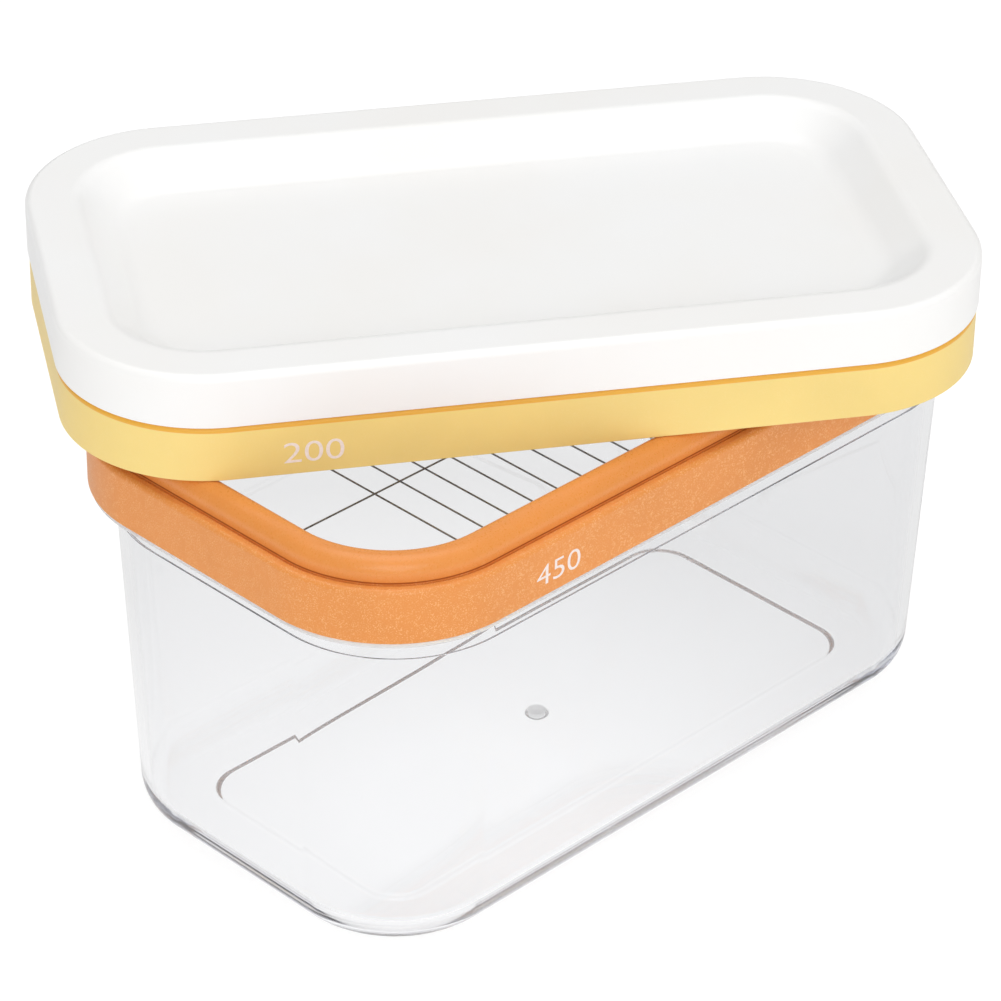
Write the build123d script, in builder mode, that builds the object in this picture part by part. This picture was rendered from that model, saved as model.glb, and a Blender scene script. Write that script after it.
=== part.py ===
from build123d import *
import os
from math import radians, tan

# Wire butter slicer: a clear storage box, two stacking cutter frames strung with steel wire, and a lid.
# Millimetres and degrees. The origin is the middle of the box's foot, +X runs along the box, +Z is up.
# An inset is a distance inwards from the plan outline that both cutter frames share.

# Shared plan of the cutter frames
plan_length = 170.0
plan_width = 95.5
plan_corner = 27.4

# Storage box
ledge_height = 73.0
ledge_thickness = 1.2
ledge_inset = 0.4
ledge_chamfer = 0.3
ledge_root_rounding = 0.8
body_end_inset = 4.2
body_side_inset = 3.4
body_corner = 25.8
body_draft = 2.5
box_wall = 1.8
step_height = 66.0
step_depth = 0.5
floor_thickness = 2.6
foot_rounding = 7.4
foot_ring_width = 7.3
foot_recess_depth = 1.0
gate_radius = 1.4
gate_height = 0.6
rim_chamfer = 0.4

# Cutter frames: heights are above the bottom edge of the skirt
skirt_height = 10.8
skirt_wall = 2.0
skirt_rounding = 1.0
land_thickness = 1.8
groove_width = 0.4
groove_depth = 0.5
bead_foot_inset = 2.3
bead_wall = 1.8
bead_outer_rounding = 3.0
bead_inner_rounding = 2.5
opening_inset = 8.0
rail_width = 1.8
rail_height = 7.2
clamp_thickness = 2.4
clamp_clearance = 0.5
skirt_fit = 0.3
nest_clearance = 0.3
post_radius = 1.5
pin_radius = 0.9
pin_fit = 0.05

# Wires
wire_diameter = 0.36
wire_gap = 0.02
notch_gap = 0.07
crimp_side = 1.0
crimp_length = 1.5
crimp_gap = 0.1

# Net of the large frame
large_cross_count = 18
large_cross_pitch = 6.2
large_long_count = 2
large_long_pitch = 22.8
large_posts_along = (-5.0, 5.0)
large_posts_across = 0.0

# Net of the small frame
small_cross_count = 19
small_cross_pitch = 5.6
small_long_count = 1
small_long_pitch = 22.8
small_posts_along = (-5.5, 5.5)
small_posts_across = 11.4

# The small frame lies loosely on the large one
stack_gap = 0.1
loose_turn = -32.9
loose_shift_x = -2.3
loose_shift_y = 8.6

# Lid
lid_overhang = 0.3
lid_height = 10.4
lid_wall = 1.8
lid_edge_rounding = 1.4
lid_foot_rounding = 0.5
dish_rim_inset = 9.5
dish_slope_run = 7.0
dish_depth = 6.0
dish_rim_rounding = 4.0
dish_floor_rounding = 6.0

# Worked out from the sizes above
body_height = ledge_height - ledge_thickness
draft_run = body_height * tan(radians(body_draft))
upper_wall = box_wall - step_depth
hollow_inset = bead_foot_inset + bead_wall
rail_inset = opening_inset - rail_width
post_inset = (hollow_inset + rail_inset) / 2
clamp_bottom = rail_height - clamp_thickness
bead_height = clamp_bottom - nest_clearance
bead_top = skirt_height + bead_height
hollow_top = bead_top - bead_wall
land_underside = skirt_height - land_thickness
rim_height = clamp_bottom - nest_clearance
rim_inset = skirt_wall + skirt_fit
wire_radius = wire_diameter / 2
notch_width = wire_diameter + 2 * notch_gap
layer_step = wire_radius + wire_gap
crimp_end_inset = rail_inset - crimp_gap - crimp_length
pocket_length = crimp_length + 2 * crimp_gap
pocket_width = crimp_side + 2 * crimp_gap
pocket_inset = rail_inset - pocket_length / 2

large_seat = Plane.XY.offset(ledge_height)
loose_place = Location((loose_shift_x, loose_shift_y, bead_top + stack_gap), (0, 0, loose_turn))
small_seat = Plane(large_seat.location * loose_place)
lid_seat = small_seat.offset(skirt_height + stack_gap)

os.makedirs("parts", exist_ok=True)


def plan_outline(inset, mode=Mode.ADD):
    """Draw the shared plan, moved in by an inset, in the open sketch."""
    length = plan_length - 2 * inset
    width = plan_width - 2 * inset
    RectangleRounded(length, width, plan_corner - inset, mode=mode)


def body_outline(inward):
    """Draw the box body's plan at the ledge, moved in by a distance, in the open sketch."""
    length = plan_length - 2 * (body_end_inset + inward)
    width = plan_width - 2 * (body_side_inset + inward)
    RectangleRounded(length, width, body_corner - inward)


def wire_offsets(count, pitch):
    """Places of evenly spaced wires about the middle."""
    return [(index - (count - 1) / 2) * pitch for index in range(count)]


def save(shape, name):
    """Label a finished piece and write it under its own name."""
    shape.label = name
    export_step(shape, f"parts/{name}.step")


# Storage box: drafted body with a thinner wall above an inner step, thin ledge and rim, rounded at the floor
with BuildPart() as container:
    with BuildSketch(Plane.XY.offset(body_height)):
        plan_outline(ledge_inset)
    extrude(amount=ledge_thickness)
    chamfer(container.edges().filter_by(Axis.Z, reverse=True), length=ledge_chamfer)
    with BuildSketch(Plane.XY.offset(ledge_height)):
        plan_outline(rim_inset)
    extrude(amount=rim_height)
    with BuildSketch(Plane.XY.offset(body_height)):
        body_outline(0)
    extrude(amount=-body_height, taper=body_draft)
    fillet(container.edges().group_by(Axis.Z)[0], radius=foot_rounding)
    ledge_root = container.faces().filter_by(Axis.Z).group_by(Axis.Z)[1].face().inner_wires()[0]
    fillet(ledge_root.edges(), radius=ledge_root_rounding)
    with BuildSketch(Plane.XY.offset(body_height)):
        body_outline(box_wall)
    extrude(amount=floor_thickness - body_height, taper=body_draft, mode=Mode.SUBTRACT)
    fillet(container.edges(Select.LAST).group_by(Axis.Z)[0], radius=foot_rounding - box_wall)
    with BuildSketch(Plane.XY.offset(body_height)):
        body_outline(upper_wall)
    extrude(amount=step_height - body_height, taper=body_draft, mode=Mode.SUBTRACT)
    with BuildSketch(Plane.XY.offset(body_height)):
        body_outline(upper_wall)
    extrude(amount=box_wall, mode=Mode.SUBTRACT)
    with BuildSketch(Plane.XY.offset(body_height + box_wall)):
        plan_outline(rim_inset + box_wall)
    extrude(amount=ledge_thickness + rim_height, mode=Mode.SUBTRACT)
    chamfer(container.faces().sort_by(Axis.Z)[-1].edges(), length=rim_chamfer)
    with BuildSketch(Plane.XY):
        body_outline(draft_run + foot_rounding + foot_ring_width)
    extrude(amount=foot_recess_depth, mode=Mode.SUBTRACT)
    with BuildSketch(Plane.XY.offset(foot_recess_depth)):
        Circle(gate_radius)
    extrude(amount=-gate_height)
save(container.part, "container")


def post_places(pitch, along, across):
    """Middles of the posts that carry the clamp: some on each side, two on each end or one."""
    side = plan_width / 2 - post_inset
    end = plan_length / 2 - post_inset
    on_sides = [(pitch * step, y) for step in along for y in (-side, side)]
    on_ends = [(x, y) for x in (-end, end) for y in sorted({-across, across})]
    return on_sides + on_ends


def cutter_frame(seat, posts, long_offsets):
    """Moulded ring: outer skirt, narrow land, hollow rounded bead and the rail that the wires cross."""
    with BuildPart() as frame:
        with BuildSketch(seat):
            plan_outline(0)
        extrude(amount=skirt_height)
        fillet(frame.edges().group_by(Axis.Z)[-1], radius=skirt_rounding)
        with BuildSketch(seat.offset(skirt_height)):
            plan_outline(bead_foot_inset - groove_width)
        extrude(amount=-groove_depth, mode=Mode.SUBTRACT)
        with BuildSketch(seat.offset(skirt_height - groove_depth)):
            plan_outline(bead_foot_inset)
        extrude(amount=groove_depth + bead_height)
        fillet(frame.edges().group_by(Axis.Z)[-1], radius=bead_outer_rounding)
        with BuildSketch(seat):
            plan_outline(skirt_wall)
        extrude(amount=rail_height, mode=Mode.SUBTRACT)
        with BuildSketch(seat.offset(rail_height)):
            plan_outline(skirt_wall)
            plan_outline(rail_inset, mode=Mode.SUBTRACT)
        extrude(amount=land_underside - rail_height, mode=Mode.SUBTRACT)
        with BuildSketch(seat.offset(land_underside)):
            plan_outline(hollow_inset)
            plan_outline(rail_inset, mode=Mode.SUBTRACT)
        extrude(amount=hollow_top - land_underside, mode=Mode.SUBTRACT)
        with BuildSketch(seat.offset(rail_height)):
            plan_outline(opening_inset)
        extrude(amount=bead_top - rail_height, mode=Mode.SUBTRACT)
        fillet(frame.edges(Select.LAST).group_by(Axis.Z)[-1], radius=bead_inner_rounding)
        with BuildSketch(seat.offset(rail_height)):
            with Locations(*posts):
                Circle(post_radius)
        extrude(amount=hollow_top - rail_height)
        with BuildSketch(seat.offset(clamp_bottom)):
            with Locations(*posts):
                Circle(pin_radius)
        extrude(amount=clamp_thickness)
        with BuildSketch(seat.offset(rail_height)):
            with Locations(*[(0, y) for y in long_offsets]):
                Rectangle(plan_length - 2 * rail_inset, notch_width)
        extrude(amount=layer_step + wire_radius + notch_gap, mode=Mode.SUBTRACT)
    return frame.part


def wire_clamp(seat, posts, cross_offsets, long_offsets):
    """Flat ring pinned under the rail, with a notch for each cross wire and a pocket for each crimp."""
    side = plan_width / 2 - pocket_inset
    end = plan_length / 2 - pocket_inset
    with BuildPart() as clamp:
        with BuildSketch(seat.offset(clamp_bottom)):
            plan_outline(skirt_wall + clamp_clearance)
            plan_outline(opening_inset, mode=Mode.SUBTRACT)
            with Locations(*posts):
                Circle(pin_radius + pin_fit, mode=Mode.SUBTRACT)
        extrude(amount=clamp_thickness)
        with BuildSketch(seat.offset(rail_height)):
            with Locations(*[(x, 0) for x in cross_offsets]):
                Rectangle(notch_width, plan_width - 2 * rail_inset)
        extrude(amount=-(layer_step + wire_radius + notch_gap), mode=Mode.SUBTRACT)
        with BuildSketch(seat.offset(rail_height)):
            with Locations(*[(x, y) for x in cross_offsets for y in (-side, side)]):
                Rectangle(pocket_width, pocket_length)
        extrude(amount=-(layer_step + crimp_side / 2 + crimp_gap), mode=Mode.SUBTRACT)
        with BuildSketch(seat.offset(rail_height)):
            with Locations(*[(x, y) for x in (-end, end) for y in long_offsets]):
                Rectangle(pocket_length, pocket_width)
        extrude(amount=-(crimp_side / 2 + crimp_gap - layer_step), mode=Mode.SUBTRACT)
    return clamp.part


def strung_wire(middle, half_span):
    """Straight round wire through the middle plane, with a square crimp pressed on each end."""
    with BuildPart() as wire:
        with BuildSketch(middle):
            Circle(wire_radius)
        extrude(amount=half_span, both=True)
        with BuildSketch(middle.offset(-half_span), middle.offset(half_span - crimp_length)):
            Rectangle(crimp_side, crimp_side)
        extrude(amount=crimp_length)
    return wire.part


def string_net(seat, name, cross_offsets, long_offsets):
    """Write every wire of one net: cross wires just under the clamp's top, long wires just over it."""
    cross_span = plan_width / 2 - crimp_end_inset
    long_span = plan_length / 2 - crimp_end_inset
    for number, x in enumerate(cross_offsets, start=1):
        centre = seat.from_local_coords((x, 0, rail_height - layer_step))
        middle = Plane(origin=centre, x_dir=seat.z_dir, z_dir=seat.y_dir)
        save(strung_wire(middle, cross_span), f"{name}_cross_wire_{number:02d}")
    for number, y in enumerate(long_offsets, start=1):
        centre = seat.from_local_coords((0, y, rail_height + layer_step))
        middle = Plane(origin=centre, x_dir=seat.z_dir, z_dir=seat.x_dir)
        save(strung_wire(middle, long_span), f"{name}_long_wire_{number}")


# Large cutter: frame, clamp and net, seated on the box's ledge
large_cross = wire_offsets(large_cross_count, large_cross_pitch)
large_long = wire_offsets(large_long_count, large_long_pitch)
large_posts = post_places(large_cross_pitch, large_posts_along, large_posts_across)
save(cutter_frame(large_seat, large_posts, large_long), "large_frame")
save(wire_clamp(large_seat, large_posts, large_cross, large_long), "large_wire_clamp")
string_net(large_seat, "large", large_cross, large_long)

# Small cutter: the same section with a finer net
small_cross = wire_offsets(small_cross_count, small_cross_pitch)
small_long = wire_offsets(small_long_count, small_long_pitch)
small_posts = post_places(small_cross_pitch, small_posts_along, small_posts_across)
save(cutter_frame(small_seat, small_posts, small_long), "small_frame")
save(wire_clamp(small_seat, small_posts, small_cross, small_long), "small_wire_clamp")
string_net(small_seat, "small", small_cross, small_long)

# Lid: a shell of even wall with a shallow dish pressed into its top
with BuildPart() as lid:
    with BuildSketch(lid_seat):
        plan_outline(-lid_overhang)
    extrude(amount=lid_height)
    fillet(lid.edges().group_by(Axis.Z)[-1], radius=lid_edge_rounding)
    with BuildSketch(lid_seat.offset(lid_height)):
        plan_outline(dish_rim_inset)
    with BuildSketch(lid_seat.offset(lid_height - dish_depth)):
        plan_outline(dish_rim_inset + dish_slope_run)
    loft(mode=Mode.SUBTRACT)
    dish_floor = lid.edges(Select.LAST).group_by(Axis.Z)[0]
    dish_rim = lid.edges(Select.LAST).group_by(Axis.Z)[-1]
    fillet(dish_rim, radius=dish_rim_rounding)
    fillet(dish_floor, radius=dish_floor_rounding)
    offset(amount=-lid_wall, openings=lid.faces().sort_by(Axis.Z)[0])
    lid_foot = lid.faces().sort_by(Axis.Z)[0].outer_wire()
    fillet(lid_foot.edges(), radius=lid_foot_rounding)
save(lid.part, "lid")
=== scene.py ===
"""Wire butter slicer: a clear storage box, two wire cutter frames, and a white lid.

The file is laid out as an add-on and run as a script. Every shell is a profile carried round a
rounded rectangle, worked out with numpy in metres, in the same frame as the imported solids. The
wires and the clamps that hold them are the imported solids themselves, with their own finishes.
"""

from functools import partial

import bpy
import numpy as np
from bpy.props import (
    FloatProperty,
    FloatVectorProperty,
    IntProperty,
    PointerProperty,
    StringProperty,
)
from bpy.types import Operator, Panel, PropertyGroup
from mathutils import Matrix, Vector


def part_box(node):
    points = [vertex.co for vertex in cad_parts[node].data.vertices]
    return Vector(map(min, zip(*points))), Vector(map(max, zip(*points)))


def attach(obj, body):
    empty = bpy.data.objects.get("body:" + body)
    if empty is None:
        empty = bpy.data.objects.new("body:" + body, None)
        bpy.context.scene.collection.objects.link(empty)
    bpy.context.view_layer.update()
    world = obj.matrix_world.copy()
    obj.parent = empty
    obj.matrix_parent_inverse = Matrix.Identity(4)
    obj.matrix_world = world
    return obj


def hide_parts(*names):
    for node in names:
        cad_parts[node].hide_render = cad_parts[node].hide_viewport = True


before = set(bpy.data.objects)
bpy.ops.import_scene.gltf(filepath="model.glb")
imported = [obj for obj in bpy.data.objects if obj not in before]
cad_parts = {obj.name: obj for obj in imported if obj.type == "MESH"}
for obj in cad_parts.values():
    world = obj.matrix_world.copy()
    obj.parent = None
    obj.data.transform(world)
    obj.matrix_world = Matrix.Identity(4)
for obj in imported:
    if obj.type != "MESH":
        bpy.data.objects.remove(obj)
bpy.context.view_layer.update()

bl_info = {
    "name": "Wire butter slicer",
    "version": (1, 0, 0),
    "blender": (4, 5, 0),
    "location": "3D View > Sidebar > Slicer",
    "description": "Builds a wire butter slicer and its stage",
    "category": "Object",
}

MM = 0.001

# Posts of each frame: pitch of its wires, places along the sides in pitches, places at the ends
LARGE_POSTS = (6.2 * MM, (-5.0, 5.0), 0.0)
SMALL_POSTS = (5.6 * MM, (-5.5, 5.5), 11.4 * MM)

# Numerals, in the font's own units: depth of the outline, and how much its strokes are thinned
FONT_DEPTH = 0.5
FONT_OFFSET = -0.006

# Rings round the poles of flat middles, and the flat face of the gate, as shares of a radius
POLE_RING = 0.05
GATE_FACE = 0.75

# Spans of a noise's values over which a ramp runs
SOFT_SPAN = (0.3, 0.7)
FIRM_SPAN = (0.35, 0.65)
PATCH_SPAN = (0.35, 0.6)
FLECK_SPAN = (0.52, 0.68)

# Moulded plastic: height over which the polish sets in, what it leaves of the flecks and takes off
# the roughness, flecks left between clusters, deep tone of the drifts, and grain in the roughness
POLISH_RUN = 1.0 * MM
POLISHED_FLECKS = 0.25
POLISH_GLOSS = 0.12
LEAST_CLUSTER = 0.2
DRIFT_TONE = 0.93
GRAIN_GLOSS = 0.05

# The two moulded plastics: the frame of each, share of flecks, roughness, depth of grain, and the
# seam's height above the skirt's top, the reach of its painted shade and that shade's tone. The
# orange seam is a painted dark crease at the groove by the bead's foot, and the yellow one is a
# painted shadow band under the lid's edge.
PLASTICS = {
    "orange": ("large_frame", 0.6, 0.42, 0.012 * MM, 0.22 * MM, 0.1 * MM, (0.5, 0.3, 0.2)),
    "yellow": ("small_frame", 0.12, 0.45, 0.008 * MM, -0.2 * MM, 0.8 * MM, (0.9, 0.62, 0.2)),
}

# Clear plastic: fade, tone and roughness of the torn gate, and how clear the milky ledge is, whose
# pale band is a painted highlight along the ledge
GATE_FADE = 1.1
GATE_TONE = 0.75
GATE_ROUGH = 0.5
LEDGE_HIGHLIGHT_CLEAR = 0.4

# Width over which a band of tone ends
SOFT_EDGE = 0.1 * MM

# Floor: drop below the box, reach to each side, faces along each side, and tone in the light
FLOOR_DROP = 0.05 * MM
FLOOR_REACH = 3.0
FLOOR_FACES = 12
FLOOR_TONE = 0.97

# Middle of the pool of light painted on the floor as it is seen through clear plastic and in a
# gloss, the run over which that painted light fades, the brightest side of the sky, and the run
# over which the mirrored sky pales overhead
PAINTED_LIGHT_SPOT = (-0.03, -0.012, 0.0)
PAINTED_LIGHT_RUN = (0.02, 0.12)
BRIGHT_SIDE = (0.35, -0.75, 0.56)
OVERHEAD = (0.7, 0.95)

# Lamps: width and place, and the height of the point that they face
TOP_LAMP = (1.2, (0.1, 0.2, 1.6))
FRONT_LAMP = (1.0, (-0.95, -1.05, 0.85))
LAMP_AIM = 0.05

# Camera: turn, lift and roll in degrees, the point that it faces, its distance, and its lens
CAMERA_ANGLES = (-45.22215, 32.21217, 0.77371)
CAMERA_AIM = np.array((7.57225, 16.18410, 40.0)) * MM
CAMERA_DISTANCE = 847.329 * MM
CAMERA_SENSOR = 36.0
CAMERA_LENS = 155.9519
CAMERA_SHIFT = -0.004155
NEAR_CLIP = 0.01

# How often light may pass or bounce between the walls of the clear box
CLEAR_BOUNCES = 96

# Least length to divide by
TINY = 1e-12


def length_of(name, millimetres, text, least=0.0):
    """A length property with its default in millimetres, shown in the scene's unit."""
    return FloatProperty(
        name=name,
        description=text,
        default=millimetres * MM,
        min=least,
        subtype="DISTANCE",
        unit="LENGTH",
        precision=5,
    )


def colour_of(name, value, text):
    """A colour property, given as linear red, green and blue."""
    return FloatVectorProperty(
        name=name, description=text, default=value, min=0.0, max=1.0, size=3, subtype="COLOR"
    )


def angle_of(name, degrees, text):
    """An angle property with its default in degrees."""
    return FloatProperty(
        name=name,
        description=text,
        default=float(np.radians(degrees)),
        subtype="ANGLE",
        unit="ROTATION",
    )


def amount_of(name, value, text):
    """A property for a strength, a power or a share."""
    return FloatProperty(name=name, description=text, default=value, min=0.0)


class PlanSizes(PropertyGroup):
    """The plan that both cutter frames share, and how finely it is cut into faces."""

    length: length_of("Length", 170.0, "Length of the plan")
    width: length_of("Width", 95.5, "Width of the plan")
    corner: length_of("Corner", 27.4, "Radius of the plan's corners")
    corner_steps: IntProperty(
        name="Corner steps", description="Faces round each corner", default=40, min=6, max=90
    )
    straight_steps: IntProperty(
        name="Straight steps", description="Faces along each straight", default=8, min=1, max=60
    )
    chord_gap: length_of("Chord gap", 0.005, "Furthest that a face lies inside its rounding")
    edge: length_of("Edge", 0.15, "Radius left on edges that look sharp")


class BoxSizes(PropertyGroup):
    """The clear box. An inset is measured inwards from the frames' plan."""

    wall: length_of("Wall", 1.8, "Thickness of the box's walls")
    floor: length_of("Floor", 2.6, "Height of the inner floor")
    ledge_top: length_of("Ledge top", 73.0, "Height that the skirt stands on")
    ledge_thickness: length_of("Ledge thickness", 1.2, "Thickness of the ledge")
    ledge_inset: length_of("Ledge inset", 0.4, "Inset of the ledge's outer edge")
    ledge_rounding: length_of("Ledge rounding", 0.3, "Radius of the ledge's outer edges")
    root_rounding: length_of("Root rounding", 0.8, "Radius between the wall and the ledge")
    step_height: length_of("Step height", 66.0, "Height of the step in the wall")
    step_depth: length_of("Step depth", 0.6, "Width of the inner step")
    step_rounding: length_of("Step rounding", 0.29, "Radius of the step's corners")
    seat_gap: length_of("Seat gap", 0.03, "Air between the ledge and the skirt")
    end_inset: length_of("End inset", 4.2, "Inset of the body's ends under the ledge")
    side_inset: length_of("Side inset", 3.4, "Inset of the body's sides under the ledge")
    corner: length_of("Corner", 25.8, "Radius of the body's corners under the ledge")
    draft: angle_of("Draft", 2.5, "Lean of the body's walls")
    foot_rounding: length_of("Foot rounding", 7.4, "Outer radius of the foot")
    foot_ring: length_of("Foot ring", 7.3, "Width of the ring it stands on")
    recess: length_of("Recess", 1.0, "Depth of the hollow under the floor")
    recess_slope: length_of("Recess slope", 0.85, "Plan width of the slope round it")
    recess_rounding: length_of("Recess rounding", 1.3, "Radius at both ends of that slope")
    gate_radius: length_of("Gate radius", 2.3, "Radius of the moulding gate")
    gate_height: length_of("Gate height", 0.6, "Height of the moulding gate")
    rim_inset: length_of("Rim inset", 2.3, "Inset of the rim inside the skirt")
    rim_height: length_of("Rim height", 4.5, "Height of the rim above the ledge")
    rim_chamfer: length_of("Rim chamfer", 0.4, "Size of the rim's cut corners")


class FrameSizes(PropertyGroup):
    """The section that both cutter frames share. Heights are above the skirt's bottom edge."""

    skirt_height: length_of("Skirt height", 10.8, "Height of the outer skirt")
    skirt_wall: length_of("Skirt wall", 2.0, "Thickness of the outer skirt")
    skirt_rounding: length_of("Skirt rounding", 1.0, "Radius of the skirt's top edge")
    land: length_of("Land", 1.8, "Thickness of the land between skirt and bead")
    groove_width: length_of("Groove width", 0.4, "Width of the groove at the bead's foot")
    groove_depth: length_of("Groove depth", 0.5, "Depth of the groove at the bead's foot")
    bead_inset: length_of("Bead inset", 2.3, "Inset of the bead's foot")
    bead_height: length_of("Bead height", 4.5, "Height of the bead above the land")
    bead_wall: length_of("Bead wall", 1.8, "Thickness of the bead's shell")
    bead_outer: length_of("Bead outer rounding", 3.0, "Radius of the bead's outer shoulder")
    bead_inner: length_of("Bead inner rounding", 2.5, "Radius of the bead's inner shoulder")
    opening_inset: length_of("Opening inset", 8.0, "Inset of the opening for the butter")
    rail_width: length_of("Rail width", 1.8, "Thickness of the rail over the wires")
    rail_height: length_of("Rail height", 7.2, "Height of the rail's lower edge")
    clamp_thickness: length_of("Clamp thickness", 2.4, "Thickness of the ring under the wires")
    post_radius: length_of("Post radius", 1.5, "Radius of the posts that carry the clamp")
    pin_radius: length_of("Pin radius", 0.9, "Radius of the pins on the posts")


class LidSizes(PropertyGroup):
    """The lid: a shell of even wall with a shallow dish pressed into its top."""

    overhang: length_of("Overhang", 0.3, "How far the lid stands out past the frames")
    height: length_of("Height", 10.4, "Height of the lid")
    wall: length_of("Wall", 1.8, "Thickness of the lid")
    edge_rounding: length_of("Edge rounding", 1.4, "Radius of the lid's top edge")
    foot_rounding: length_of("Foot rounding", 0.25, "Radius of the lid's lower outer edge")
    rim_inset: length_of("Rim inset", 9.5, "Inset of the dish's upper edge")
    slope_run: length_of("Slope run", 7.0, "Plan width of the dish's slope")
    dish_depth: length_of("Dish depth", 6.0, "Depth of the dish")
    rim_rounding: length_of("Rim rounding", 4.0, "Radius between the rim and the slope")
    floor_rounding: length_of("Floor rounding", 6.0, "Radius between the slope and the floor")


class MarkSizes(PropertyGroup):
    """The plain numerals printed on the frames' long skirts."""

    height: length_of("Height", 4.1, "Height of the numerals")
    width: length_of("Width", 10.8, "Width of a mark of three numerals")
    along: length_of("Along", -43.2, "Place of its middle along the skirt", least=-1.0)
    middle: length_of("Middle", 4.4, "Height of its middle above the skirt's foot")
    film: length_of("Film", 0.03, "Thickness of the printed film")
    large: StringProperty(name="Large mark", description="Large frame's numerals", default="450")
    small: StringProperty(name="Small mark", description="Small frame's numerals", default="200")


class StackPlace(PropertyGroup):
    """How the small frame and the lid lie on the large frame."""

    turn: angle_of("Turn", -32.9, "Turn of the small frame and the lid about the vertical")


class Finishes(PropertyGroup):
    """Colours of the moulded parts, the wires and the print."""

    orange: colour_of("Orange", (0.84, 0.305, 0.065), "Large frame and its clamp")
    orange_fleck: colour_of("Orange fleck", (0.98, 0.56, 0.26), "Pale flecks in the orange")
    yellow: colour_of("Yellow", (0.95, 0.715, 0.245), "Small frame and its clamp")
    yellow_fleck: colour_of("Yellow fleck", (0.98, 0.78, 0.42), "Pale flecks in the yellow")
    white: colour_of("White", (0.945, 0.945, 0.94), "Lid")
    clear: colour_of("Clear", (0.972, 0.974, 0.98), "Tint of the clear box")
    steel: colour_of("Steel", (0.26, 0.26, 0.265), "Strung wires")
    print_white: colour_of("Print", (0.95, 0.83, 0.78), "Printed numerals")


class StageLights(PropertyGroup):
    """The plain white stage: powers of the lamps, and how bright sky and floor look."""

    top: amount_of("Top lamp", 5.0, "Power of the lamp overhead")
    front: amount_of("Front lamp", 6.5, "Power of the lamp in front")
    sky: amount_of("Sky", 0.864, "Strength of the sky on its bright side")
    sky_far: amount_of("Far sky", 0.496, "Strength of the sky on its far side")
    sky_clear: amount_of("Clear sky", 0.76, "White of the sky through clear plastic")
    sky_low: amount_of("Low sky", 0.04, "White of the sky mirrored from the sides")
    sky_high: amount_of("High sky", 0.88, "White of the sky mirrored from overhead")
    floor_white: amount_of("Floor white", 0.8, "Plain white in the floor as it is seen")
    floor_shade: amount_of("Floor shade", 0.3, "Lit part of the floor as it is seen")
    # Painted pool of light on the floor through clear plastic: its white near its middle and far
    # off
    clear_near: amount_of("Clear near", 0.98, "White of the near floor through clear plastic")
    clear_far: amount_of("Clear far", 0.74, "White of the far floor through clear plastic")
    clear_shade: amount_of("Clear shade", 0.1, "Lit part of the floor through clear plastic")


class SlicerSettings(PropertyGroup):
    """Everything that can be changed about the slicer."""

    plan: PointerProperty(type=PlanSizes, name="Plan", description="Shared plan")
    box: PointerProperty(type=BoxSizes, name="Box", description="Clear box")
    ring: PointerProperty(type=FrameSizes, name="Frames", description="Cutter frames")
    lid: PointerProperty(type=LidSizes, name="Lid", description="White lid")
    mark: PointerProperty(type=MarkSizes, name="Marks", description="Printed numerals")
    stack: PointerProperty(type=StackPlace, name="Stack", description="Place of the loose pieces")
    finish: PointerProperty(type=Finishes, name="Finishes", description="Colours")
    stage: PointerProperty(type=StageLights, name="Stage", description="Floor and lights")


# Profiles: rows of (half length, half width, corner radius, height)


def plan_row(plan, inset, height):
    """The frames' plan moved in: each half size and the corner radius shrink by the inset."""
    return (plan.length / 2 - inset, plan.width / 2 - inset, plan.corner - inset, height)


def body_row(plan, box, inward, height):
    """The box body's plan moved in by a distance, at a height."""
    return (
        plan.length / 2 - box.end_inset - inward,
        plan.width / 2 - box.side_inset - inward,
        box.corner - inward,
        height,
    )


def round_row(radius, height):
    """A circle as a plan: its half length, half width and corner radius are all its radius."""
    return (radius, radius, radius, height)


def rounded(rows, radii, chord_gap, closed):
    """Round the corners of a profile.

    At a corner the two edges leave in directions p and n at an angle a. A rounding of radius r
    starts r / tan(a / 2) along p, and its point after a turn t is the corner plus
    (r / tan(a / 2) - r sin t - r (1 - cos t) / tan a) p + (r (1 - cos t) / sin a) n.
    Lengths are measured in half length and height, and half width and radius follow along. Each
    rounding has enough faces that none lies further than the chord gap inside the true arc.
    """
    rows = np.asarray(rows, float)
    count = len(rows)
    flat = rows[:, (0, 3)]
    parts = []
    for index in range(count):
        radius = radii[index]
        if radius == 0.0 or (not closed and index in (0, count - 1)):
            parts.append(rows[index : index + 1])
            continue
        before, after = rows[index - 1] - rows[index], rows[(index + 1) % count] - rows[index]
        before = before / np.linalg.norm(flat[index - 1] - flat[index])
        after = after / np.linalg.norm(flat[(index + 1) % count] - flat[index])
        cosine = float(before[[0, 3]] @ after[[0, 3]])
        angle = np.arccos(np.clip(cosine, -1.0, 1.0))
        widest = 2 * np.arccos(max(1 - chord_gap / radius, 0.0))
        steps = int(np.ceil((np.pi - angle) / widest)) + 1
        turn = np.linspace(0.0, np.pi - angle, steps + 1)
        reach = radius / np.tan(angle / 2)
        along = reach - radius * np.sin(turn) - radius * (1 - np.cos(turn)) / np.tan(angle)
        across = radius * (1 - np.cos(turn)) / np.sin(angle)
        parts.append(rows[index] + np.outer(along, before) + np.outer(across, after))
    return np.vstack(parts)


def profile_normals(rows, closed):
    """Outward direction of each point in (half length, height), from its two edges.

    The profile runs anticlockwise with outwards to the right, so an edge (a, b) faces (b, -a).
    An edge counts by the inverse of its length, which keeps the flats flat beside their roundings.
    """
    flat = rows[:, (0, 3)]
    edges = np.roll(flat, -1, axis=0) - flat
    lengths = np.maximum(np.linalg.norm(edges, axis=1), TINY)[:, None]
    faces = np.stack([edges[:, 1], -edges[:, 0]], axis=1) / lengths
    weights = lengths**2
    if not closed:
        weights[-1] = 0.0
    normals = faces * weights + np.roll(faces * weights, 1, axis=0)
    return normals / np.maximum(np.linalg.norm(normals, axis=1), TINY)[:, None]


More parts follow.
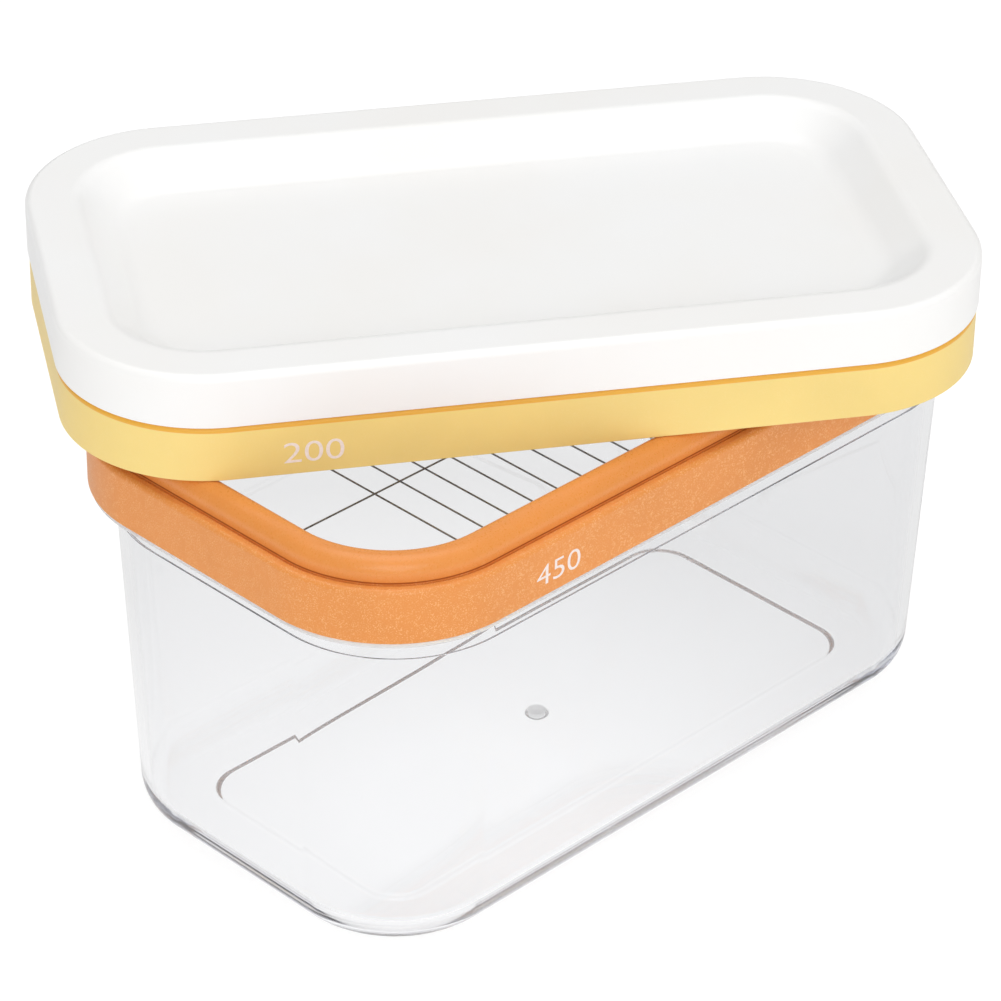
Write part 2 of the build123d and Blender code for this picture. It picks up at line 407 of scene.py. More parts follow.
def plan_steps(corner_steps, straight_steps):
    """Directions round the plan, and the corner that each belongs to.

    On a corner the direction turns a quarter circle about the corner's centre. On a straight the
    direction stays, and the centre runs from one corner to the next. Centres are given as shares
    of the half sizes of the core, the rectangle through the four corner centres.
    """
    signs = np.array([(1, -1), (1, 1), (-1, 1), (-1, -1)], float)
    shares, directions = [], []
    for corner, sign in enumerate(signs):
        angles = np.radians(-90 + 90 * corner) + np.linspace(0, np.pi / 2, corner_steps + 1)
        shares.append(np.repeat(sign[None], corner_steps + 1, axis=0))
        directions.append(np.stack([np.cos(angles), np.sin(angles)], axis=1))
        between = np.linspace(0, 1, straight_steps + 1)[1:-1, None]
        shares.append(sign + (signs[(corner + 1) % 4] - sign) * between)
        directions.append(np.repeat(directions[-1][-1:], len(between), axis=0))
    return np.vstack(shares), np.vstack(directions)


def carried_surface(rows, closed, plan):
    """Carry a profile round its plan.

    The point of row (L, W, R, z) in direction d from core share s is
    (s.x (L - R) + R d.x, s.y (W - R) + R d.y, z). An open profile ends in a pole at each end.
    Returns points, normals and faces with their sides outwards.
    """
    shares, directions = plan_steps(plan.corner_steps, plan.straight_steps)
    half, radius, height = rows[:, :2], rows[:, 2], rows[:, 3]
    core = half - radius[:, None]
    level = shares[:, None, :] * core[None] + directions[:, None, :] * radius[None, :, None]
    around, along = len(shares), len(rows)
    heights = np.broadcast_to(height[None, :, None], (around, along, 1))
    lean = profile_normals(rows, closed)
    tilt = directions[:, None, :] * lean[None, :, :1]
    rise = np.broadcast_to(lean[None, :, 1:], (around, along, 1))
    points = np.concatenate([level, heights], axis=2).reshape(-1, 3)
    normals = np.concatenate([tilt, rise], axis=2).reshape(-1, 3)
    u = np.arange(around)[:, None]
    v = np.arange(along if closed else along - 1)[None]
    u_next, v_next = (u + 1) % around, (v + 1) % along
    quads = np.stack(
        [u * along + v, u_next * along + v, u_next * along + v_next, u * along + v_next], axis=2
    ).reshape(-1, 4)
    faces = quads.tolist()
    if not closed:
        ring = np.arange(around) * along
        following = np.roll(ring, -1)
        first, last = len(points), len(points) + 1
        poles = [[0, 0, height[0]], [0, 0, height[-1]]]
        caps = [[0, 0, -1.0], [0, 0, 1.0]]
        points, normals = np.vstack([points, poles]), np.vstack([normals, caps])
        faces += np.stack([following, ring, np.full(around, first)], axis=1).tolist()
        faces += np.stack(
            [ring + along - 1, following + along - 1, np.full(around, last)], axis=1
        ).tolist()
    return points, normals, faces


def joined(surfaces):
    """Put several surfaces into one list of points, normals and faces."""
    points, normals, faces, start = [], [], [], 0
    for some_points, some_normals, some_faces in surfaces:
        points.append(some_points)
        normals.append(some_normals)
        faces += [[corner + start for corner in face] for face in some_faces]
        start += len(some_points)
    return np.vstack(points), np.vstack(normals), faces


def placed(surface, turn, place):
    """Turn a surface about the vertical and move it to its place. Flat faces have no normals."""
    points, normals, faces = surface
    cosine, sine = np.cos(turn), np.sin(turn)
    spin = np.array([(cosine, -sine, 0.0), (sine, cosine, 0.0), (0.0, 0.0, 1.0)])
    if normals is not None:
        normals = normals @ spin.T
    return points @ spin.T + np.asarray(place, float), normals, faces


def new_object(name, data):
    """Put a mesh, a curve, a lamp or a camera into the scene."""
    made = bpy.data.objects.new(name, data)
    bpy.context.scene.collection.objects.link(made)
    return made


def new_mesh(name, points, faces, material):
    """A mesh with its place in its points, and one material."""
    mesh = bpy.data.meshes.new(name)
    mesh.from_pydata(points.tolist(), [], faces)
    mesh.validate()
    mesh.materials.append(material)
    return mesh


def new_piece(name, surface, material):
    """A piece at the origin: smooth by the normals of its formula, or flat where it has none."""
    points, normals, faces = surface
    mesh = new_mesh(name, points, faces, material)
    if normals is None:
        mesh.shade_flat()
    else:
        mesh.shade_smooth()
        mesh.normals_split_custom_set_from_vertices(normals.tolist())
    return new_object(name, mesh)


def middle_of(node):
    """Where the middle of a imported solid's lower side is."""
    low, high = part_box(node)
    return ((low.x + high.x) / 2, (low.y + high.y) / 2, low.z)


# Nodes


def node_of(tree, kind, inputs, **settings):
    """A new node. Each input is a plain value, a colour of three parts, or a node's output."""
    node = tree.nodes.new(kind)
    for name, value in settings.items():
        setattr(node, name, value)
    for key, value in inputs.items():
        socket = node.inputs[key]
        if isinstance(value, bpy.types.NodeSocket):
            tree.links.new(value, socket)
        elif socket.type == "RGBA":
            socket.default_value = (*value, 1.0)
        else:
            socket.default_value = value
    return node


def noise_of(tree, where, scale, detail=2.0, roughness=0.5):
    """A noise pattern on the object's own coordinates. The scale is in cells per metre."""
    inputs = {"Vector": where, "Scale": scale, "Detail": detail, "Roughness": roughness}
    return node_of(tree, "ShaderNodeTexNoise", inputs).outputs["Fac"]


def ramp_of(tree, factor, span, low=0.0, high=1.0):
    """A straight ramp: low up to the start of the factor's span, and high past its end."""
    inputs = {"Value": factor, "To Min": low, "To Max": high}
    inputs["From Min"], inputs["From Max"] = span
    return node_of(tree, "ShaderNodeMapRange", inputs).outputs["Result"]


def math_of(tree, operation, *values):
    """One step of arithmetic on plain numbers and other nodes' outputs."""
    return node_of(tree, "ShaderNodeMath", dict(enumerate(values)), operation=operation).outputs[0]


def vector_of(tree, operation, where, place):
    """The distance of a point from a place, or the dot product of two directions."""
    inputs = {0: where, 1: place}
    return node_of(tree, "ShaderNodeVectorMath", inputs, operation=operation).outputs["Value"]


def height_of(tree, where):
    """The height of a point, or of a direction's tip."""
    return node_of(tree, "ShaderNodeSeparateXYZ", {0: where}).outputs["Z"]


def away_from(tree, height, level):
    """How far a height is from a level, above or below it."""
    return math_of(tree, "ABSOLUTE", math_of(tree, "SUBTRACT", height, level))


def mixed_colour(tree, factor, first, second):
    """A mix of two colours by a factor. The node's inputs 6 and 7 are those for colours."""
    inputs = {"Factor": factor, 6: first, 7: second}
    return node_of(tree, "ShaderNodeMix", inputs, data_type="RGBA").outputs[2]


def bump_of(tree, height, depth):
    """A bump whose full height is a depth in metres."""
    inputs = {"Height": height, "Distance": depth, "Strength": 1.0}
    return node_of(tree, "ShaderNodeBump", inputs).outputs["Normal"]


def by_ray(tree, lit, shown):
    """A shader for light, and others for the kinds of ray that they are listed under."""
    path = tree.nodes.new("ShaderNodeLightPath")
    for ray, shader in shown.items():
        inputs = {0: path.outputs[ray], 1: lit, 2: shader}
        lit = node_of(tree, "ShaderNodeMixShader", inputs).outputs[0]
    return lit


def toned(colour, share):
    """A colour times a share, which is one number or one for each part, and at most full."""
    return tuple(np.minimum(np.multiply(colour, share), 1.0).tolist())


# Finishes


def blank_material(name):
    """A material with no shader yet, its node tree, and its Object coordinates."""
    material = bpy.data.materials.new(name)
    material.use_nodes = True
    tree = material.node_tree
    tree.nodes.clear()
    return material, tree, tree.nodes.new("ShaderNodeTexCoord").outputs["Object"]


def principled(tree, inputs):
    """A Principled shader with its inputs."""
    return node_of(tree, "ShaderNodeBsdfPrincipled", inputs).outputs[0]


def shown_by(tree, **shaders):
    """Make shaders what a material shows, as its Surface and its Volume."""
    node_of(tree, "ShaderNodeOutputMaterial", shaders)


def moulded_plastic(
    name, colour, fleck, skirt_top, fleck_share, rough, grain_depth, seam, seam_shade_reach, seam_shade_tone
):
    """Fine-grained moulded plastic: drifts of tone, clusters of pale flecks, and a broken gloss.

    Above the skirt's top the mould is polished: the flecks thin out and the gloss rises. A narrow
    band of painted shade runs round the seam: a deeper tone that stands in for the shade caught
    between two surfaces.
    """
    material, tree, where = blank_material(name)
    drift = noise_of(tree, where, scale=38.0, detail=3.0)
    cluster = noise_of(tree, where, scale=700.0)
    grain = noise_of(tree, where, scale=2600.0, roughness=0.6)
    speck = noise_of(tree, where, scale=4200.0, detail=1.0, roughness=0.4)
    height = height_of(tree, where)
    polish = (skirt_top, skirt_top + POLISH_RUN)
    share = ramp_of(tree, height, polish, fleck_share, fleck_share * POLISHED_FLECKS)
    shown = math_of(tree, "MULTIPLY", ramp_of(tree, speck, FLECK_SPAN), share)
    shown = math_of(tree, "MULTIPLY", shown, ramp_of(tree, cluster, PATCH_SPAN, LEAST_CLUSTER))
    # Painted shade: a band of deeper tone round the seam, for the crease or for the lid's shadow
    seam_shade_edge = (seam_shade_reach, seam_shade_reach + SOFT_EDGE)
    from_seam = away_from(tree, height, skirt_top + seam)
    seam_shade_mask = ramp_of(tree, from_seam, seam_shade_edge, 1.0, 0.0)
    base = mixed_colour(tree, ramp_of(tree, drift, FIRM_SPAN), toned(colour, DRIFT_TONE), colour)
    base = mixed_colour(tree, shown, base, fleck)
    base = mixed_colour(tree, seam_shade_mask, base, toned(colour, seam_shade_tone))
    broken = ramp_of(tree, grain, SOFT_SPAN, -GRAIN_GLOSS, GRAIN_GLOSS)
    even = ramp_of(tree, height, polish, rough, rough - POLISH_GLOSS)
    inputs = {
        "Base Color": base,
        "Roughness": math_of(tree, "ADD", broken, even),
        "Normal": bump_of(tree, grain, grain_depth),
        "IOR": 1.5,
        "Subsurface Weight": 0.05,
        "Subsurface Radius": (0.9, 0.5, 0.25),
        "Subsurface Scale": 1.0 * MM,
    }
    shown_by(tree, Surface=principled(tree, inputs))
    return material


def satin_white(name, colour):
    """Satin white plastic: an even colour with a faint warm drift, and a very fine grain."""
    material, tree, where = blank_material(name)
    drift = noise_of(tree, where, scale=24.0, detail=3.0)
    grain = noise_of(tree, where, scale=3200.0)
    warm = toned(colour, (0.99, 0.98, 0.965))
    inputs = {
        "Base Color": mixed_colour(tree, ramp_of(tree, drift, FIRM_SPAN), warm, colour),
        "Roughness": ramp_of(tree, grain, SOFT_SPAN, 0.28, 0.4),
        "Normal": bump_of(tree, grain, depth=0.004 * MM),
        "IOR": 1.5,
    }
    shown_by(tree, Surface=principled(tree, inputs))
    return material


def clear_plastic(name, tint, box):
    """Clear styrene: slow ripples from moulding in its gloss, and a faint blue where it is deep.

    The moulding gate under the floor is torn, so it is rough and a little darker. The ledge is
    milky, a painted highlight: its pale band stands in for light caught on the ledge's edges.
    Shadow rays pass straight through.
    """
    material, tree, where = blank_material(name)
    from_gate = vector_of(tree, "DISTANCE", where, (0.0, 0.0, box.recess))
    gate_edge = (box.gate_radius, box.gate_radius * GATE_FADE)
    torn = ramp_of(tree, from_gate, gate_edge, 1.0, 0.0)
    ripple = noise_of(tree, where, scale=60.0, detail=1.0)
    wavy = ramp_of(tree, ripple, FIRM_SPAN, 0.0, 0.02)
    # Painted highlight: the ledge is less clear, so a pale band shows along it
    half_ledge = box.ledge_thickness / 2
    from_ledge = away_from(tree, height_of(tree, where), box.ledge_top - half_ledge)
    ledge_highlight_edge = (half_ledge, half_ledge + SOFT_EDGE)
    inputs = {
        "Base Color": mixed_colour(tree, torn, tint, toned(tint, GATE_TONE)),
        "Roughness": math_of(tree, "MAXIMUM", wavy, math_of(tree, "MULTIPLY", torn, GATE_ROUGH)),
        "Normal": bump_of(tree, ripple, depth=0.01 * MM),
        "Transmission Weight": ramp_of(tree, from_ledge, ledge_highlight_edge, LEDGE_HIGHLIGHT_CLEAR),
        "IOR": 1.49,
    }
    through = node_of(tree, "ShaderNodeBsdfTransparent", {"Color": (0.95, 0.95, 0.96)})
    depth = {"Color": (0.4, 0.46, 0.64), "Density": 3.0}
    inside = node_of(tree, "ShaderNodeVolumeAbsorption", depth)
    surface = by_ray(tree, principled(tree, inputs), {"Is Shadow Ray": through.outputs[0]})
    shown_by(tree, Surface=surface, Volume=inside.outputs[0])
    return material


def drawn_steel(name, colour):
    """Drawn stainless wire: grey metal with fine streaks of gloss."""
    material, tree, where = blank_material(name)
    streak = noise_of(tree, where, scale=900.0, detail=3.0, roughness=0.6)
    paler = toned(colour, 1.35)
    inputs = {
        "Base Color": mixed_colour(tree, ramp_of(tree, streak, SOFT_SPAN), colour, paler),
        "Roughness": ramp_of(tree, streak, SOFT_SPAN, 0.22, 0.42),
        "Metallic": 1.0,
    }
    shown_by(tree, Surface=principled(tree, inputs))
    return material


def print_ink(name, colour):
    """Printed film: matt ink with a slightly patchy cover."""
    material, tree, where = blank_material(name)
    patch = noise_of(tree, where, scale=2200.0)
    thin = toned(colour, 0.92)
    inputs = {
        "Base Color": mixed_colour(tree, ramp_of(tree, patch, PATCH_SPAN), thin, colour),
        "Roughness": ramp_of(tree, patch, SOFT_SPAN, 0.45, 0.6),
    }
    shown_by(tree, Surface=principled(tree, inputs))
    return material


def finish_named(name, make, *values):
    """The material of that name, made the first time it is asked for."""
    return bpy.data.materials.get(name) or make(name, *values)


def frame_plastic(tone):
    """The plastic of one frame and its clamp, named by its colour."""
    node, *look = PLASTICS[tone]
    slicer = bpy.context.scene.slicer
    colour = tuple(getattr(slicer.finish, tone))
    fleck = tuple(getattr(slicer.finish, tone + "_fleck"))
    skirt_top = middle_of(node)[2] + slicer.ring.skirt_height
    return finish_named(tone + "_plastic", moulded_plastic, colour, fleck, skirt_top, *look)


# Shells


def box_profile(plan, box):
    """The box's section, from the gate under its floor, up its outside, and down its inside."""
    lean = np.tan(box.draft)
    underside = box.ledge_top - box.ledge_thickness
    seat = box.ledge_top - box.seat_gap
    foot = underside * lean
    step = underside + box.wall
    rim_top = box.ledge_top + box.rim_height
    inner = box.rim_inset + box.wall
    upper_wall = box.wall - box.step_depth
    step_lean = (underside - box.step_height) * lean
    floor_inward = box.wall + (underside - box.floor) * lean
    ring_inner = foot + box.foot_rounding + box.foot_ring
    gate = box.recess - box.gate_height
    edge = plan.edge
    cut = box.rim_chamfer
    body, collar = partial(body_row, plan, box), partial(plan_row, plan)
    rows = [
        (round_row(box.gate_radius * POLE_RING, gate), 0.0),
        (round_row(box.gate_radius * GATE_FACE, gate), edge),
        (round_row(box.gate_radius, box.recess), edge),
        (body(ring_inner + box.recess_slope, box.recess), box.recess_rounding),
        (body(ring_inner, 0.0), box.recess_rounding),
        (body(foot, 0.0), box.foot_rounding),
        (body(0.0, underside), box.root_rounding),
        (collar(box.ledge_inset, underside), box.ledge_rounding),
        (collar(box.ledge_inset, seat), box.ledge_rounding),
        (collar(box.rim_inset, seat), edge),
        (collar(box.rim_inset, rim_top - cut), edge),
        (collar(box.rim_inset + cut, rim_top), edge),
        (collar(inner - cut, rim_top), edge),
        (collar(inner, rim_top - cut), edge),
        (collar(inner, step), edge),
        (body(upper_wall, step), edge),
        (body(upper_wall, underside), 0.0),
        (body(upper_wall + step_lean, box.step_height), box.step_rounding),
        (body(box.wall + step_lean, box.step_height), box.step_rounding),
        (body(floor_inward, box.floor), box.foot_rounding - box.wall),
        (body(ring_inner + box.foot_rounding, box.floor), 0.0),
        (round_row(box.gate_radius / 2, box.floor), 0.0),
    ]
    places, radii = zip(*rows)
    return rounded(places, radii, plan.chord_gap, closed=False)


def ring_profile(plan, ring):
    """The cutter frame's closed section: skirt, land, groove, bead, and the rail under it."""
    edge = plan.edge
    groove_edge = edge / 3
    bead_top = ring.skirt_height + ring.bead_height
    groove_inset = ring.bead_inset - ring.groove_width
    groove_floor = ring.skirt_height - ring.groove_depth
    hollow_inset = ring.bead_inset + ring.bead_wall
    hollow_top = bead_top - ring.bead_wall
    rail_inset = ring.opening_inset - ring.rail_width
    land_underside = ring.skirt_height - ring.land
    corners = [
        (0.0, 0.0, edge),
        (0.0, ring.skirt_height, ring.skirt_rounding),
        (groove_inset, ring.skirt_height, edge),
        (groove_inset, groove_floor, groove_edge),
        (ring.bead_inset, groove_floor, groove_edge),
        (ring.bead_inset, bead_top, ring.bead_outer),
        (ring.opening_inset, bead_top, ring.bead_inner),
        (ring.opening_inset, ring.rail_height, edge),
        (rail_inset, ring.rail_height, edge),
        (rail_inset, hollow_top, edge),
        (hollow_inset, hollow_top, edge),
        (hollow_inset, land_underside, edge),
        (ring.skirt_wall, land_underside, edge),
        (ring.skirt_wall, 0.0, edge),
    ]
    rows = [plan_row(plan, inset, height) for inset, height, _ in corners]
    return rounded(rows, [radius for *_, radius in corners], plan.chord_gap, closed=True)


def lid_profile(plan, lid):
    """The lid's section, from the dish's underside out to the edge and back over the top.

    The underside runs parallel to the top at the wall's thickness: where two top lines meet at a
    turn of the angle a, the lower corner moves wall * tan(a / 2) along the flat line.
    """
    edge = plan.edge
    top = lid.height
    floor = top - lid.dish_depth
    under_shift = lid.wall * np.tan(np.arctan2(lid.dish_depth, lid.slope_run) / 2)
    skirt_inner = lid.wall - lid.overhang
    slope_foot = lid.rim_inset + lid.slope_run
    under_floor = lid.floor_rounding + lid.wall
    level = partial(plan_row, plan)
    rows = [
        (round_row(plan.corner * POLE_RING, floor - lid.wall), 0.0),
        (level(slope_foot + under_shift, floor - lid.wall), under_floor),
        (level(lid.rim_inset + under_shift, top - lid.wall), lid.rim_rounding - lid.wall),
        (level(skirt_inner, top - lid.wall), edge),
        (level(skirt_inner, 0.0), edge),
        (level(-lid.overhang, 0.0), lid.foot_rounding),
        (level(-lid.overhang, top), lid.edge_rounding),
        (level(lid.rim_inset, top), lid.rim_rounding),
        (level(slope_foot, floor), lid.floor_rounding),
        (round_row(plan.corner * POLE_RING, floor), 0.0),
    ]
    places, radii = zip(*rows)
    return rounded(places, radii, plan.chord_gap, closed=False)


class PostPlan:
    """A coarse round plan for the posts, which are small and sit out of sight."""

    corner_steps = 5
    straight_steps = 1


def post_surface(plan, ring, x, y):
    """A post about its own upright axis: a pin through the clamp, and a thicker part above."""
    hollow_top = ring.skirt_height + ring.bead_height - ring.bead_wall
    pin_bottom = ring.rail_height - ring.clamp_thickness
    rows = [
        round_row(ring.pin_radius / 2, pin_bottom),
        round_row(ring.pin_radius, pin_bottom),
        round_row(ring.pin_radius, ring.rail_height),
        round_row(ring.post_radius, ring.rail_height),
        round_row(ring.post_radius, hollow_top),
        round_row(ring.post_radius / 2, hollow_top),
    ]
    radii = [0.0, plan.edge, plan.edge, plan.edge, 0.0, 0.0]
    coarse_gap = plan.edge / 4
    profile = rounded(rows, radii, coarse_gap, closed=False)
    return placed(carried_surface(profile, False, PostPlan), 0.0, (x, y, 0.0))


def cutter_surface(plan, ring, pitch, along, across):
    """One frame with the posts that carry its clamp: some on each side, one or two on each end."""
    inset = (ring.bead_inset + ring.bead_wall + ring.opening_inset - ring.rail_width) / 2
    side, end = plan.width / 2 - inset, plan.length / 2 - inset
    places = [(pitch * step, y) for step in along for y in (-side, side)]
    places += [(x, y) for x in (-end, end) for y in sorted({-across, across})]
    posts = [post_surface(plan, ring, x, y) for x, y in places]
    return joined([carried_surface(ring_profile(plan, ring), True, plan), *posts])


def numeral_surface(text, mark, skirt_face):
    """Numerals as a thin film on the skirt: a filled outline, scaled and stood upright.

    A point at the shares (a, b, c) of the outline's width, height and depth goes to
    (along + (a - 1/2) width, -face - c film, middle + (b - 1/2) height).
    """
    curve = bpy.data.curves.new("numerals", "FONT")
    curve.body = text
    curve.extrude = FONT_DEPTH
    curve.offset = FONT_OFFSET
    holder = new_object("numerals", curve)
    bpy.context.view_layer.update()
    shown = holder.evaluated_get(bpy.context.evaluated_depsgraph_get())
    outline = bpy.data.meshes.new_from_object(shown)
    bpy.data.objects.remove(holder)
    bpy.data.curves.remove(curve)
    points = np.zeros(len(outline.vertices) * 3)
    outline.vertices.foreach_get("co", points)
    points = points.reshape(-1, 3)
    faces = [list(face.vertices) for face in outline.polygons]
    bpy.data.meshes.remove(outline)
    low, high = points.min(0), points.max(0)
    share = (points - low) / (high - low)
    x = mark.along + (share[:, 0] - 0.5) * mark.width
    z = mark.middle + (share[:, 1] - 0.5) * mark.height
    y = -skirt_face - share[:, 2] * mark.film
    return np.stack([x, y, z], axis=1), None, faces


# Operators


class SLICER_OT_clear_box(Operator):
    """Build the clear storage box"""

    bl_idname = "slicer.clear_box"
    bl_label = "Clear box"

    def execute(self, context):
        made = context.scene.slicer
        surface = carried_surface(box_profile(made.plan, made.box), False, made.plan)
        tint = tuple(made.finish.clear)
        material = finish_named("clear_styrene", clear_plastic, tint, made.box)
        piece = new_piece("clear_box", surface, material)
        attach(piece, "container")
        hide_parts("container")
        return {"FINISHED"}


class SLICER_OT_large_frame(Operator):
    """Build the large orange cutter frame"""

    bl_idname = "slicer.large_frame"
    bl_label = "Large frame"

    def execute(self, context):
        made = context.scene.slicer
        surface = cutter_surface(made.plan, made.ring, *LARGE_POSTS)
        surface = placed(surface, 0.0, middle_of("large_frame"))
        piece = new_piece("large_frame_shell", surface, frame_plastic("orange"))
        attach(piece, "large_cutter")
        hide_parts("large_frame")
        return {"FINISHED"}


class SLICER_OT_small_frame(Operator):
    """Build the small yellow cutter frame"""

    bl_idname = "slicer.small_frame"
    bl_label = "Small frame"

    def execute(self, context):
        made = context.scene.slicer
        surface = cutter_surface(made.plan, made.ring, *SMALL_POSTS)
        surface = placed(surface, made.stack.turn, middle_of("small_frame"))
        piece = new_piece("small_frame_shell", surface, frame_plastic("yellow"))
        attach(piece, "small_cutter")
        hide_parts("small_frame")
        return {"FINISHED"}


class SLICER_OT_lid(Operator):
    """Build the white lid"""

    bl_idname = "slicer.lid"
    bl_label = "Lid"

    def execute(self, context):
        made = context.scene.slicer
        surface = carried_surface(lid_profile(made.plan, made.lid), False, made.plan)
        surface = placed(surface, made.stack.turn, middle_of("lid"))
        material = finish_named("satin_white", satin_white, tuple(made.finish.white))
        piece = new_piece("lid_shell", surface, material)
        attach(piece, "lid")
        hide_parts("lid")
        return {"FINISHED"}


class SLICER_OT_wires_and_clamps(Operator):
    """Finish the strung wires and the rings that hold them"""

    bl_idname = "slicer.wires_and_clamps"
    bl_label = "Wires and clamps"

    def execute(self, context):
        finish = context.scene.slicer.finish
        steel = finish_named("drawn_steel", drawn_steel, tuple(finish.steel))
        plastics = {
            "large_wire_clamp": frame_plastic("orange"),
            "small_wire_clamp": frame_plastic("yellow"),
        }
        for name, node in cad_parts.items():
            material = steel if "_wire_" in name and name not in plastics else plastics.get(name)
            if material is None:
                continue
            node.data.materials.clear()
            node.data.materials.append(material)
        return {"FINISHED"}


class SLICER_OT_marks(Operator):
    """Print the plain numerals on the frames' skirts"""

    bl_idname = "slicer.marks"
    bl_label = "Marks"

    def execute(self, context):
        made = context.scene.slicer
        ink = finish_named("print_ink", print_ink, tuple(made.finish.print_white))
        face = made.plan.width / 2
        large = (made.mark.large, 0.0, "large_frame", "large_cutter", "orange_frame")
        small = (made.mark.small, made.stack.turn, "small_frame", "small_cutter", "yellow_frame")
        for name, (text, turn, node, body, slot) in (("large_mark", large), ("small_mark", small)):
            surface = placed(numeral_surface(text, made.mark, face), turn, middle_of(node))
            piece = new_piece(name, surface, ink)
            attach(piece, body)
        return {"FINISHED"}


class SLICER_OT_stage(Operator):
    """Lay the white floor, and set the sky, the lamps and the camera"""

    bl_idname = "slicer.stage"
    bl_label = "Stage"

    def execute(self, context):
        stage = context.scene.slicer.stage
        lay_floor(stage)
        set_sky(stage)
        hang_lamp("top_lamp", stage.top, *TOP_LAMP)
        hang_lamp("front_lamp", stage.front, *FRONT_LAMP)
        set_camera(context.scene)
        context.scene.cycles.max_bounces = CLEAR_BOUNCES
        context.scene.cycles.transmission_bounces = CLEAR_BOUNCES
        context.scene.cycles.glossy_bounces = CLEAR_BOUNCES
        context.scene.view_settings.view_transform = "Standard"
        return {"FINISHED"}


# Stage


def shown_floor(tree, shade, white):
    """A lit grey, added to plain white of a strength that is a number or a node's output."""
    lit = node_of(tree, "ShaderNodeBsdfDiffuse", {"Color": (shade, shade, shade)})
    glow = node_of(tree, "ShaderNodeEmission", {"Strength": white})
    both = {0: lit.outputs[0], 1: glow.outputs[0]}
    return node_of(tree, "ShaderNodeAddShader", both).outputs[0]


def lay_floor(stage):
    """A wide level sheet just under the box, which lights it as a white floor does.

    Seen by itself it is plain white, with a soft shadow from its lit part. Through clear plastic
    and in a gloss it shows a painted pool of light: its white fades from a bright spot outwards.
    """
    steps = np.linspace(-FLOOR_REACH, FLOOR_REACH, FLOOR_FACES + 1)
    x, y = np.meshgrid(steps, steps, indexing="xy")
    points = np.stack([x.ravel(), y.ravel(), np.full(x.size, -FLOOR_DROP)], axis=1)
    row, column = np.meshgrid(np.arange(FLOOR_FACES), np.arange(FLOOR_FACES), indexing="ij")
    corner = (row * (FLOOR_FACES + 1) + column).ravel()
    beyond = corner + FLOOR_FACES + 1
    faces = np.stack([corner, corner + 1, beyond + 1, beyond], axis=1)
    material, tree, where = blank_material("white_floor")
    lit = shown_floor(tree, FLOOR_TONE, 0.0)
    open_floor = shown_floor(tree, stage.floor_shade, stage.floor_white)
    # Painted light: through clear plastic and in a gloss, the floor's white is a pool fading from
    # a spot
    from_painted_spot = vector_of(tree, "DISTANCE", where, PAINTED_LIGHT_SPOT)
    painted_light_fade = ramp_of(tree, from_painted_spot, PAINTED_LIGHT_RUN, stage.clear_near, stage.clear_far)
    painted_light_floor = shown_floor(tree, stage.clear_shade, painted_light_fade)
    rays = {
        "Is Glossy Ray": painted_light_floor,
        "Is Transmission Ray": painted_light_floor,
        "Is Camera Ray": open_floor,
    }
    shown_by(tree, Surface=by_ray(tree, lit, rays))
    floor = new_object("floor", new_mesh("floor", points, faces.tolist(), material))


def sky_of(tree, strength):
    """White sky of a strength that is a number or a node's output. At 1 it is plain white."""
    inputs = {"Color": (1.0, 1.0, 1.0), "Strength": strength}
    return node_of(tree, "ShaderNodeBackground", inputs).outputs[0]


def set_sky(stage):
    """A white sky whose light comes more from one side, and which is plain white to the camera.

    Mirrored in a surface it is dark but for the part overhead, and through clear plastic it is a
    little grey.
    """
    world = bpy.data.worlds.new("white_sky")
    bpy.context.scene.world = world
    world.use_nodes = True
    tree = world.node_tree
    tree.nodes.clear()
    way = tree.nodes.new("ShaderNodeTexCoord").outputs["Generated"]
    towards = vector_of(tree, "DOT_PRODUCT", way, BRIGHT_SIDE)
    light = sky_of(tree, ramp_of(tree, towards, (-1.0, 1.0), stage.sky_far, stage.sky))
    mirrored = ramp_of(tree, height_of(tree, way), OVERHEAD, stage.sky_low, stage.sky_high)
    rays = {
        "Is Glossy Ray": sky_of(tree, mirrored),
        "Is Transmission Ray": sky_of(tree, stage.sky_clear),
        "Is Camera Ray": sky_of(tree, 1.0),
    }
    node_of(tree, "ShaderNodeOutputWorld", {"Surface": by_ray(tree, light, rays)})


def hang_lamp(name, power, size, place):
    """A square soft lamp, turned towards the middle of the slicer."""
    light = bpy.data.lights.new(name, "AREA")
    light.energy = power
    light.size = size
    place = np.array(place)
    back = place - np.array((0.0, 0.0, LAMP_AIM))
    back /= np.linalg.norm(back)
    right = np.cross((0.0, 1.0, 0.0), back)
    right /= np.linalg.norm(right)
    new_object(name, light).matrix_world = stood(right, np.cross(back, right), back, place)


def stood(right, up, back, place):
    """The matrix of something whose own axes point right, up and back, at a place."""
    turn = np.eye(4)
    turn[:3, 0], turn[:3, 1], turn[:3, 2], turn[:3, 3] = right, up, back, place
    return Matrix(turn.tolist())


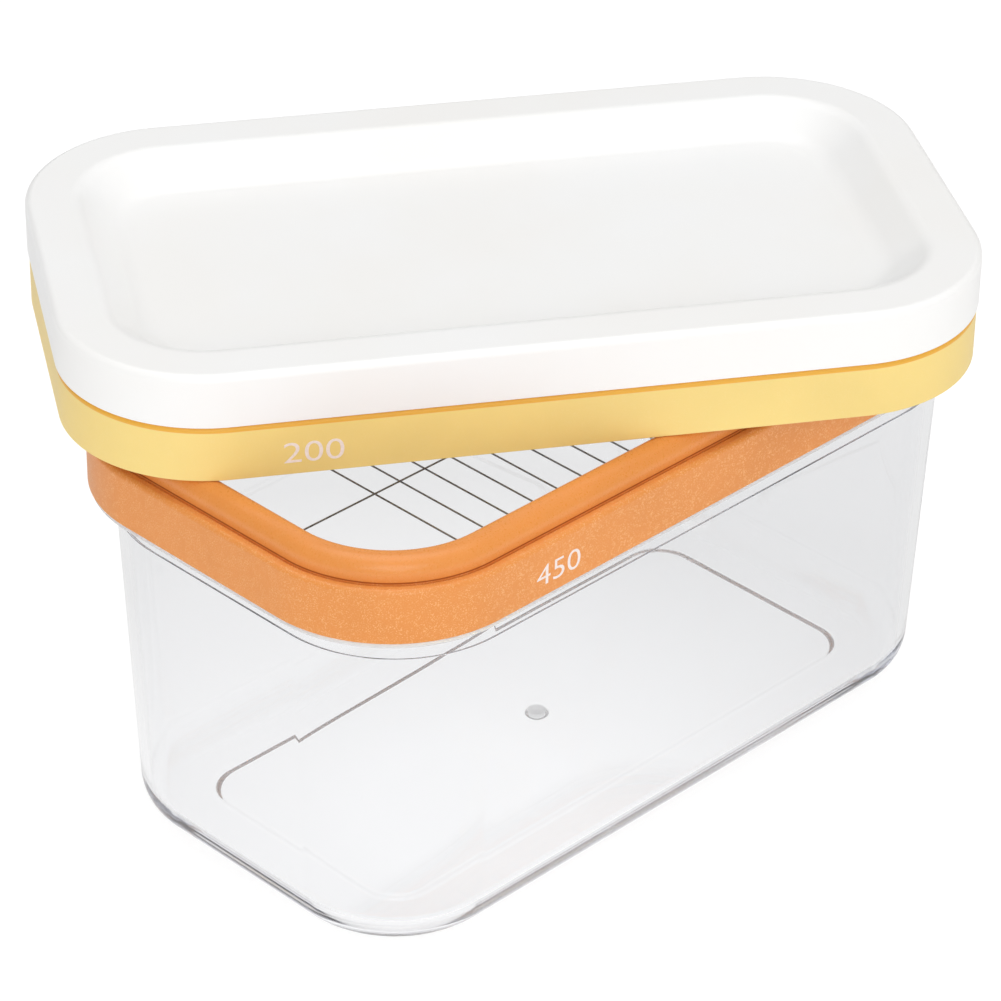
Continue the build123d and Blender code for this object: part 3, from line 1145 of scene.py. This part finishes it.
def set_camera(scene):
    """A long lens above the near left corner of the box."""
    side, lift, roll = np.radians(CAMERA_ANGLES)
    back = np.array((np.sin(side) * np.cos(lift), -np.cos(side) * np.cos(lift), np.sin(lift)))
    level = np.array((np.cos(side), np.sin(side), 0.0))
    above = np.cross(back, level)
    right = level * np.cos(roll) + above * np.sin(roll)
    up = above * np.cos(roll) - level * np.sin(roll)
    data = bpy.data.cameras.new("camera")
    data.sensor_width = CAMERA_SENSOR
    data.lens = CAMERA_LENS
    data.shift_x = CAMERA_SHIFT
    data.clip_start = NEAR_CLIP
    camera = new_object("camera", data)
    camera.matrix_world = stood(right, up, back, CAMERA_AIM + back * CAMERA_DISTANCE)
    scene.camera = camera


# Panel and registration

PIECES = (
    SLICER_OT_clear_box,
    SLICER_OT_large_frame,
    SLICER_OT_small_frame,
    SLICER_OT_lid,
    SLICER_OT_wires_and_clamps,
    SLICER_OT_marks,
    SLICER_OT_stage,
)


class SLICER_PT_pieces(Panel):
    """Lists the slicer's pieces and its stage"""

    bl_idname = "SLICER_PT_pieces"
    bl_label = "Wire butter slicer"
    bl_space_type = "VIEW_3D"
    bl_region_type = "UI"
    bl_category = "Slicer"

    def draw(self, context):
        for piece in PIECES:
            self.layout.operator(piece.bl_idname)


CLASSES = (
    PlanSizes,
    BoxSizes,
    FrameSizes,
    LidSizes,
    MarkSizes,
    StackPlace,
    Finishes,
    StageLights,
    SlicerSettings,
    *PIECES,
    SLICER_PT_pieces,
)


def register():
    """Make the settings, the operators and the panel known."""
    for part in CLASSES:
        bpy.utils.register_class(part)
    bpy.types.Scene.slicer = PointerProperty(type=SlicerSettings)


def unregister():
    """Take the settings, the operators and the panel away again."""
    del bpy.types.Scene.slicer
    for part in reversed(CLASSES):
        bpy.utils.unregister_class(part)


def main():
    """Build every piece and the stage."""
    register()
    bpy.ops.slicer.clear_box()
    bpy.ops.slicer.large_frame()
    bpy.ops.slicer.small_frame()
    bpy.ops.slicer.lid()
    bpy.ops.slicer.wires_and_clamps()
    bpy.ops.slicer.marks()
    bpy.ops.slicer.stage()


if __name__ == "__main__":
    main()
